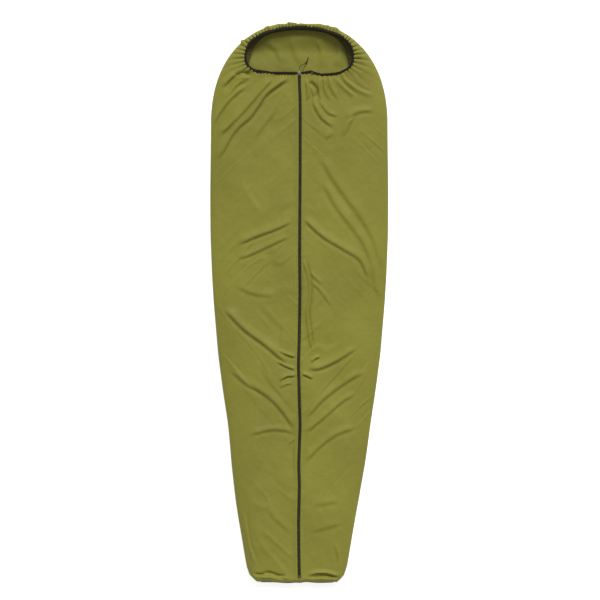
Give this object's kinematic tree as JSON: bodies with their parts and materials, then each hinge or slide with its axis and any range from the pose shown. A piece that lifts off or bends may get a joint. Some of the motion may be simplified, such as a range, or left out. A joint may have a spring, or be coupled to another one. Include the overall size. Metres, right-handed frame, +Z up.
{
  "type": "bivy sack",
  "caption": "Flat mummy-shaped bivy sack of thin stretch fabric with an elastic-bound hood opening, a full-length centre zip with slider and pull cord, and front flaps that fold open.",
  "frame": {"origin": "centre of the bottom of the bounding box, on the surface that the sack lies on", "axes": "+Y runs from the foot to the hood, +Z is up out of the front, +X is to the right seen from above with the hood at the top"},
  "size_m": [0.702, 2.2, 0.0564],
  "materials": {
    "stretch_knit": "matte",
    "seam_tape": "matte",
    "edge_binding": "matte",
    "elastic": "matte",
    "zip_tape": "matte",
    "zip_coil": "satin",
    "zip_metal": "satin",
    "pull_cord": "matte"
  },
  "bodies": {
    "sack": {"back_panel": "stretch_knit", "front_panel_left": "stretch_knit", "front_panel_right": "stretch_knit", "hood_panel": "stretch_knit", "foot_panel": "stretch_knit", "foot_seam_binding": "seam_tape", "hood_binding": "edge_binding", "hood_elastic": "elastic", "zip_bottom_stop": "zip_metal"},
    "flap_left": {"zip_flap_left": "stretch_knit", "zip_tape_left": "zip_tape", "zip_coil_left": "zip_coil", "zip_top_stop_left": "zip_metal", "lip_binding_left": "edge_binding", "lip_elastic_left": "elastic", "draft_flap": "stretch_knit"},
    "flap_right": {"zip_flap_right": "stretch_knit", "zip_tape_right": "zip_tape", "zip_coil_right": "zip_coil", "zip_top_stop_right": "zip_metal", "lip_binding_right": "edge_binding", "lip_elastic_right": "elastic", "elastic_eyelet": "zip_metal"},
    "slider": {"slider_body": "zip_metal", "slider_crown": "zip_metal"},
    "pull_tab": {"pull_tab": "zip_metal", "pull_cord": "pull_cord", "pull_cord_knot": "pull_cord"}
  },
  "joints": [
    {"name": "zip_travel", "type": "slide", "parent": "sack", "child": "slider", "axis": [0, -1, 0], "range_m": [0, 1.959]},
    {"name": "left_flap_fold", "type": "hinge", "parent": "sack", "child": "flap_left", "pos_m": [-0.02, -1.08, 0.052], "axis": [0.0604, -0.9982, 0], "range_deg": [0, 150]},
    {"name": "right_flap_fold", "type": "hinge", "parent": "sack", "child": "flap_right", "pos_m": [0.02, -1.08, 0.052], "axis": [0.0604, 0.9982, 0], "range_deg": [0, 150]},
    {"name": "pull_tab_flip", "type": "hinge", "parent": "slider", "child": "pull_tab", "pos_m": [0, 0.899, 0.05375], "axis": [1, 0, 0], "range_deg": [0, 165]}
  ],
  "couplings": [
    {"joint": "left_flap_fold", "follows": "zip_travel", "rad_per_m": 1.3364},
    {"joint": "right_flap_fold", "follows": "zip_travel", "rad_per_m": 1.3364}
  ]
}
